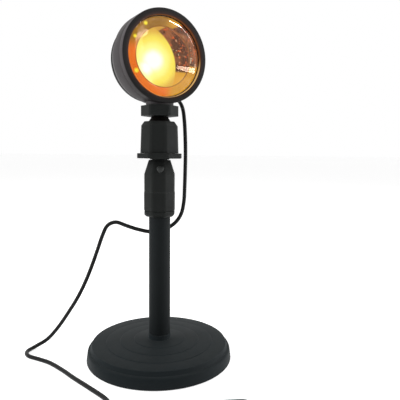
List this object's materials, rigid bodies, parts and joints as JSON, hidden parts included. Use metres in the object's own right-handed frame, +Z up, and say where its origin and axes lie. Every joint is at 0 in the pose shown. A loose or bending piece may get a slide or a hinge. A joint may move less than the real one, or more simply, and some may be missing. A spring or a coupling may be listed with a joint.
{
  "type": "table lamp",
  "caption": "Small projection lamp: round weighted base, telescopic mast with twist lock, ball joint, drum head with domed amber lens, and a USB lead with a rocker switch.",
  "frame": {"origin": "on the table under the mast's axis, at the centre of the foot pad's rest face", "axes": "+Z up along the mast; -Y towards the front of the picture; +X to the viewer's right"},
  "size_m": [0.1799, 0.2153, 0.2573],
  "materials": {
    "black_plastic": "matte black with a faint sheen",
    "dark_plastic": "matte dark grey",
    "black_steel": "black powder coat",
    "cast_weight": "rough cast",
    "steel": "plain steel",
    "brass": "plain brass",
    "foam_rubber": "black foam rubber",
    "aluminium": "bare aluminium",
    "white_plastic": "white",
    "led_yellow": "yellow phosphor",
    "amber_glass": "clear amber glass",
    "lead_rubber": "satin black",
    "wire_red": "thin insulated wire"
  },
  "bodies": {
    "base": {"base_shell": "black_plastic", "base_weight": "cast_weight", "base_plate": "black_steel", "foot_pad": "foam_rubber", "plate_screws": "steel", "mast_screw": "steel", "mast_washer": "steel", "foot_plug": "dark_plastic", "outer_tube": "black_plastic", "lock_ring": "black_plastic", "collet": "dark_plastic", "cord_fall": "lead_rubber", "cord_table": "lead_rubber", "cord_link": "lead_rubber", "cord_coil": "lead_rubber", "cord_tail": "lead_rubber", "coil_tie": "foam_rubber", "switch_base": "black_plastic", "switch_cover": "black_plastic", "switch_spring": "brass", "plug_grip": "black_plastic", "plug_shell": "steel", "plug_tongue": "white_plastic"},
    "sleeve": {"lock_sleeve": "black_plastic"},
    "mast": {"inner_tube": "black_steel", "tube_bush": "dark_plastic", "mast_plug": "dark_plastic", "hub_screw": "steel"},
    "housing": {"ball_housing": "black_plastic", "ball_seat": "dark_plastic", "cord_drop": "lead_rubber"},
    "nut": {"cap_nut": "black_plastic"},
    "stud": {"ball_stud": "black_steel", "cord_side": "lead_rubber"},
    "disc": {"lock_disc": "black_plastic"},
    "head": {"drum_shell": "black_plastic", "stud_insert": "brass", "rear_cover": "black_plastic", "cover_screws": "steel", "heat_sink": "aluminium", "led_board": "white_plastic", "led_emitter": "led_yellow", "reflector": "white_plastic", "colour_filter": "amber_glass", "filter_ring": "black_plastic", "lens_seal": "foam_rubber", "lens": "amber_glass", "front_bezel": "black_plastic", "led_wires": "wire_red", "strain_relief": "lead_rubber", "cord_exit": "lead_rubber"},
    "rocker": {"switch_rocker": "black_plastic"}
  },
  "joints": [
    {"name": "sleeve_twist", "type": "hinge", "parent": "base", "child": "sleeve", "pos_m": [0, 0, 0.13], "axis": [0, 0, 1], "range_deg": [0, 90]},
    {"name": "mast_slide", "type": "slide", "parent": "base", "child": "mast", "axis": [0, 0, 1], "range_m": [0, 0.0795], "deforming": ["cord_fall"]},
    {"name": "ball_pan", "type": "hinge", "parent": "mast", "child": "housing", "pos_m": [0, 0, 0.155], "axis": [0, 0, 1], "range_deg": [-90, 90], "deforming": ["cord_drop"]},
    {"name": "nut_turn", "type": "hinge", "parent": "housing", "child": "nut", "pos_m": [0, 0, 0.168], "axis": [0, 0, 1], "range_deg": [0, 60]},
    {"name": "ball_tilt", "type": "hinge", "parent": "housing", "child": "stud", "pos_m": [0, 0, 0.17565], "axis": [0.8988, 0.4384, 0], "range_deg": [-18, 18], "deforming": ["cord_side"]},
    {"name": "disc_turn", "type": "hinge", "parent": "stud", "child": "disc", "pos_m": [0, 0, 0.1875], "axis": [0, 0, 1], "range_deg": [0, 180]},
    {"name": "head_turn", "type": "hinge", "parent": "stud", "child": "head", "pos_m": [0, 0, 0.195], "axis": [0, 0, 1], "range_deg": [-45, 45], "deforming": ["cord_exit"]},
    {"name": "switch_rock", "type": "hinge", "parent": "base", "child": "rocker", "pos_m": [0.026, -0.1, 0.011], "axis": [0, 1, 0], "range_deg": [0, 16]}
  ]
}
